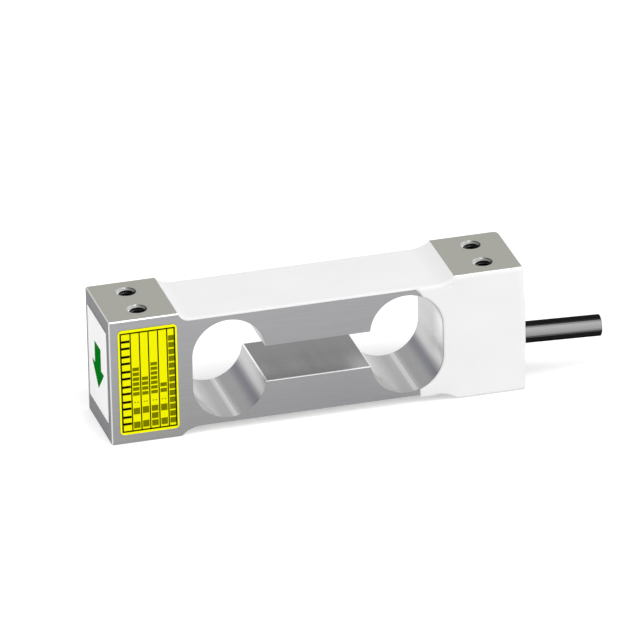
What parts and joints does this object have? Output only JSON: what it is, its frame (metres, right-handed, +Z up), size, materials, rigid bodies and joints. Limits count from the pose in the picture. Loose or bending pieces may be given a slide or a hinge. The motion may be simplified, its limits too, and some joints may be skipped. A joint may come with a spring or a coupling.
{
  "type": "single point load cell",
  "caption": "Aluminium single point load cell with a cut-out beam, white sealant, yellow label and black cable stub.",
  "frame": {"origin": "middle of the cable end's seat on the underside, between its two tapped holes", "axes": "+X from the free end to the cable end, -Y the labelled front, +Z up, against the load"},
  "size_m": [0.0842, 0.0153, 0.022],
  "materials": {
    "aluminium": "satin, brushed",
    "sealant": "cured silicone, semi-gloss",
    "label_yellow": "printed foil",
    "label_white": "printed foil",
    "print_black": "printed ink",
    "print_green": "printed ink",
    "gauge_film": "polyimide film",
    "lead_enamel": "enamelled wire",
    "board": "solder mask",
    "resistor": "matte",
    "cable_jacket": "extruded, glossy",
    "shield": "tinned braid",
    "core_red": "extruded",
    "core_black": "extruded",
    "core_green": "extruded",
    "core_white": "extruded",
    "copper": "bare stranded copper"
  },
  "bodies": {
    "root": {"beam": "aluminium", "sealant": "sealant", "nameplate": "label_yellow", "load_direction_label": "label_white", "strain_gauge_top_free": "gauge_film", "strain_gauge_top_cable": "gauge_film", "strain_gauge_bottom_free": "gauge_film", "strain_gauge_bottom_cable": "gauge_film", "gauge_lead_top_free_a": "lead_enamel", "gauge_lead_top_free_b": "lead_enamel", "gauge_lead_top_cable_a": "lead_enamel", "gauge_lead_top_cable_b": "lead_enamel", "gauge_lead_bottom_free_a": "lead_enamel", "gauge_lead_bottom_free_b": "lead_enamel", "gauge_lead_bottom_cable_a": "lead_enamel", "gauge_lead_bottom_cable_b": "lead_enamel", "terminal_board": "board", "zero_balance_resistor": "resistor", "span_resistor": "resistor", "cable_jacket": "cable_jacket", "cable_shield": "shield", "core_red": "core_red", "core_black": "core_black", "core_green": "core_green", "core_white": "core_white", "conductor_red": "copper", "conductor_black": "copper", "conductor_green": "copper", "conductor_white": "copper"}
  },
  "joints": []
}
